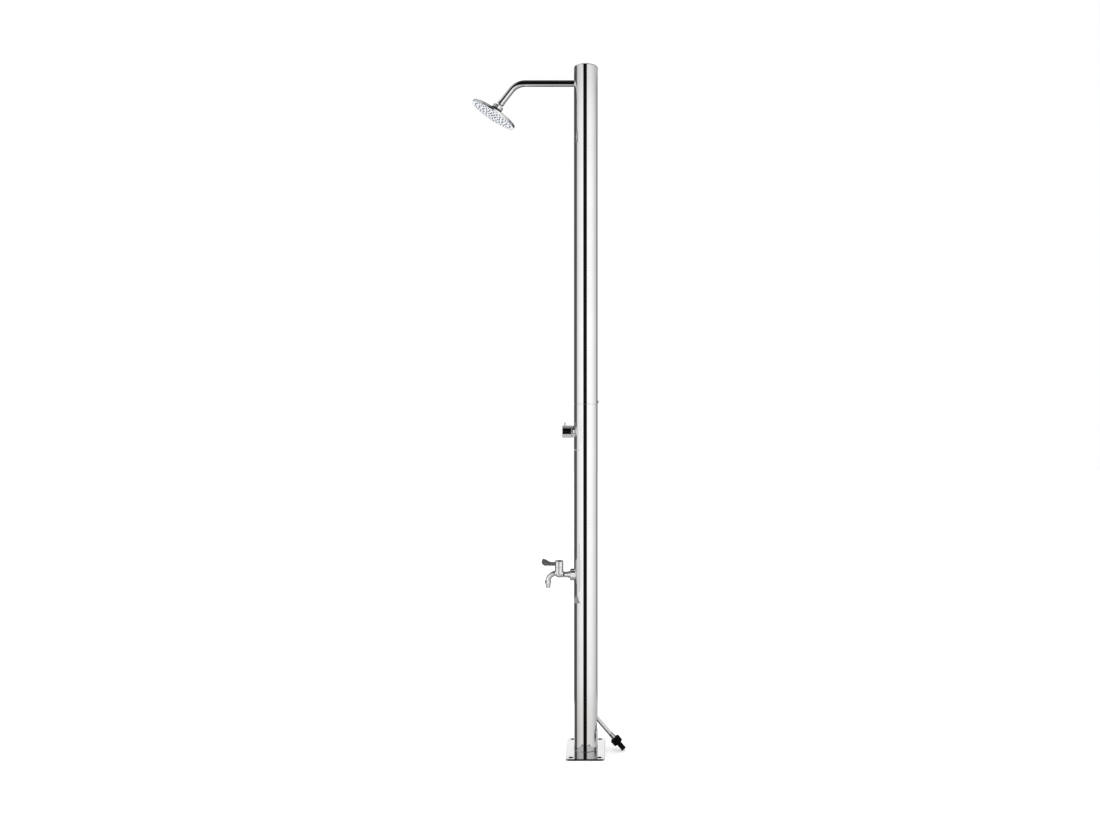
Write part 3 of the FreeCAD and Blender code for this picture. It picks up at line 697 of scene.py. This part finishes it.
M = {
    "post": steel("post_steel", grain=(0.03, 0.03, 1.0), grain_scale=2600.0, rough=0.05, spread=0.015, tone=0.84, bump=0.004, specks=0.004),
    # the plate carries painted shade in and round its anchor holes
    "plate": painted_hole_shade(steel("plate_steel", grain=(1.0, 0.05, 1.0), grain_scale=1300.0, rough=0.10, spread=0.06, tone=0.54, bump=0.06, wave=0.03)),
    "weld": steel("weld_steel", grain_scale=700.0, rough=0.20, spread=0.10, tone=0.74, bump=0.3),
    "arm": steel("arm_steel", grain_scale=1500.0, rough=0.045, spread=0.012, tone=0.84, bump=0.003, specks=0.003),
    "shell": steel("shell_steel", grain_scale=1200.0, rough=0.19, spread=0.08, tone=0.84, spin=(BALL, HEAD_W), bump=0.02),
    "face": steel("face_steel", grain_scale=1500.0, rough=0.12, spread=0.06, tone=0.87, spin=(BALL, HEAD_W), bump=0.02),
    "knob": steel("knob_steel", grain=(1.0, 0.05, 0.05), grain_scale=1800.0, rough=0.085, spread=0.04, tone=0.80, bump=0.05),
    "screw": steel("screw_steel", grain_scale=1500.0, rough=0.2, spread=0.1, tone=0.66, bump=0.1),
    "inner": steel("inner_steel", grain=(0.1, 0.1, 1.0), grain_scale=900.0, rough=0.32, spread=0.14, tone=0.62, bump=0.2),
    "chrome": chrome("tap_chrome", 0.06, 0.82),
    "collar": chrome("collar_chrome", 0.055, 0.80),
    # the collar nut carries a painted dark reflection band at its foot
    "collar_painted_reflection": painted_dark_foot(chrome("collar_chrome_painted_reflection", 0.07, 0.82)),
    "brass": brass("turned_brass"),
    "braid": wire_braid("braid_wire"),
    "braid_inner": woven("braid_cover"),
    "core": moulded("hose_core", (0.10, 0.10, 0.105), 0.55, 2600.0, 0.3, 0.03),
    "black": moulded("black_plastic", (0.002, 0.002, 0.0022), 0.46, 1700.0, 0.20, 0.003, 0.05),
    "lever": moulded("lever_plastic", (0.075, 0.075, 0.08), 0.38, 1500.0, 0.20, 0.03),
    "nylon": moulded("white_nylon", (0.80, 0.80, 0.77), 0.40, 1300.0, 0.12, 0.04),
    "rubber": moulded("black_rubber", (0.022, 0.022, 0.022), 0.62, 1900.0, 0.25, 0.02, 0.35),
    "silicone": moulded("grey_silicone", (0.13, 0.13, 0.142), 0.48, 1500.0, 0.12, 0.05, 0.4),
}

USE = {
    "base_plate": "plate", "foot_weld": "weld", "lower_post": "post", "upper_post": "post", "joint_sleeve": "inner",
    "joint_screws": "screw", "top_cap": "post", "cap_o_ring": "rubber", "shower_arm": "arm", "arm_elbow": "brass",
    "head_ball": "collar", "arm_washer": "rubber", "ball_liner": "nylon", "seat_ring": "nylon", "collar_nut": "collar_painted_reflection",
    "neck_ring": "rubber", "ball_seal": "rubber", "filter_screen": "braid_inner", "head_shell": "shell", "face_plate": "face",
    "nozzle_mat": "silicone", "valve_body": "brass", "valve_washer": "rubber", "valve_escutcheon": "chrome",
    "valve_cartridge": "brass", "valve_spindle": "brass", "knob": "knob", "knob_pin": "knob", "knob_grub_screw": "screw",
    "tap_body": "chrome", "tap_flange": "chrome", "tap_washer": "rubber", "tap_locknut": "brass", "supply_tee": "brass",
    "tap_cartridge": "brass", "tap_spindle": "brass", "tap_hub": "chrome", "tap_hub_screw": "screw", "tap_hub_cap": "chrome",
    "tap_lever": "lever", "tap_nozzle": "chrome", "feed_hose": "braid_inner", "feed_hose_nuts": "chrome",
    "riser_hose": "braid_inner", "riser_hose_nuts": "chrome", "inlet_hose_nut": "chrome", "inlet_hose": "braid_inner",
    "hose_ferrule": "chrome", "hose_tail": "chrome", "adapter_washer": "rubber", "adapter_nut": "black",
    "adapter_nose": "black", "adapter_o_ring": "rubber",
}


def paint(ob, material):
    ob.data.materials.clear()
    ob.data.materials.append(material)


for name, ob in NODES.items():
    for sl in ob.material_slots:
        sl.material = M[USE[name]]

# ------------------------------------------------------------------ spray mat: soft nozzles with their bores, on a thin disc
def spray_mat(name):
    spots = [(0.0, 0.0)]
    for r, n, off in ((11.0, 6, 0.0), (24.0, 12, 7.0), (37.5, 18, 0.0), (51.0, 24, 5.0), (64.5, 30, 0.0)):
        for i in range(n):
            a = math.radians(360.0 * i / n + off)
            spots.append((r * math.cos(a), r * math.sin(a)))
    q = Vector((0, 0, 1)).rotation_difference(HEAD_W)
    prof = [(2.15, 24.9), (2.12, 26.7), (1.80, 27.15), (1.58, 28.1), (1.46, 28.42), (1.22, 28.55), (0.94, 28.52), (0.80, 28.3), (0.74, 27.8), (0.70, 26.0), (0.0, 25.8)]
    verts, faces, seg = [], [], 20

    def turned(cx, cy, profile, n):
        rows = []
        for r, s in profile:
            if r == 0.0:
                rows.append([len(verts)])
                verts.append(BALL + (q @ Vector((cx, cy, s))) * 0.001)
            else:
                rows.append(list(range(len(verts), len(verts) + n)))
                for i in range(n):
                    a = 2 * math.pi * i / n
                    verts.append(BALL + (q @ Vector((cx + r * math.cos(a), cy + r * math.sin(a), s))) * 0.001)
        for a, b in zip(rows, rows[1:]):
            for i in range(n):
                j = (i + 1) % n
                if len(a) == 1:
                    faces.append((a[0], b[j], b[i]))
                elif len(b) == 1:
                    faces.append((a[i], a[j], b[0]))
                else:
                    faces.append((a[i], a[j], b[j], b[i]))

    for x, y in spots:
        turned(x, y, prof, seg)
    turned(0.0, 0.0, [(0.0, 23.96), (71.6, 23.96), (71.98, 24.3), (71.98, 24.8), (71.6, 25.14), (0.0, 25.14)], 96)
    return mesh_object(name, verts, faces)


mat = spray_mat("spray_mat")
sharp_by_angle(mat, 40.0)
paint(mat, M["silicone"])
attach(mat, "shower_head")
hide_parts("nozzle_mat")

# ------------------------------------------------------------------ hose and its braid
paint(hose, M["core"])
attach(hose, "post")
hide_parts("inlet_hose")

whole = resample(hose_path, 0.0005)
outer = whole[-int(0.135 / 0.0005):-int(0.0165 / 0.0005)]        # the stretch that shows, up to the ferrule
braid_ob = braid("hose_braid", outer, 0.00648, 12, 4, 48.0, 0.00045, 0.00012, 0.00014)
paint(braid_ob, M["braid"])
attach(braid_ob, "post")
sol = braid_ob.modifiers.new("wire", "SOLIDIFY")
sol.thickness = 0.00016
sol.offset = -1.0
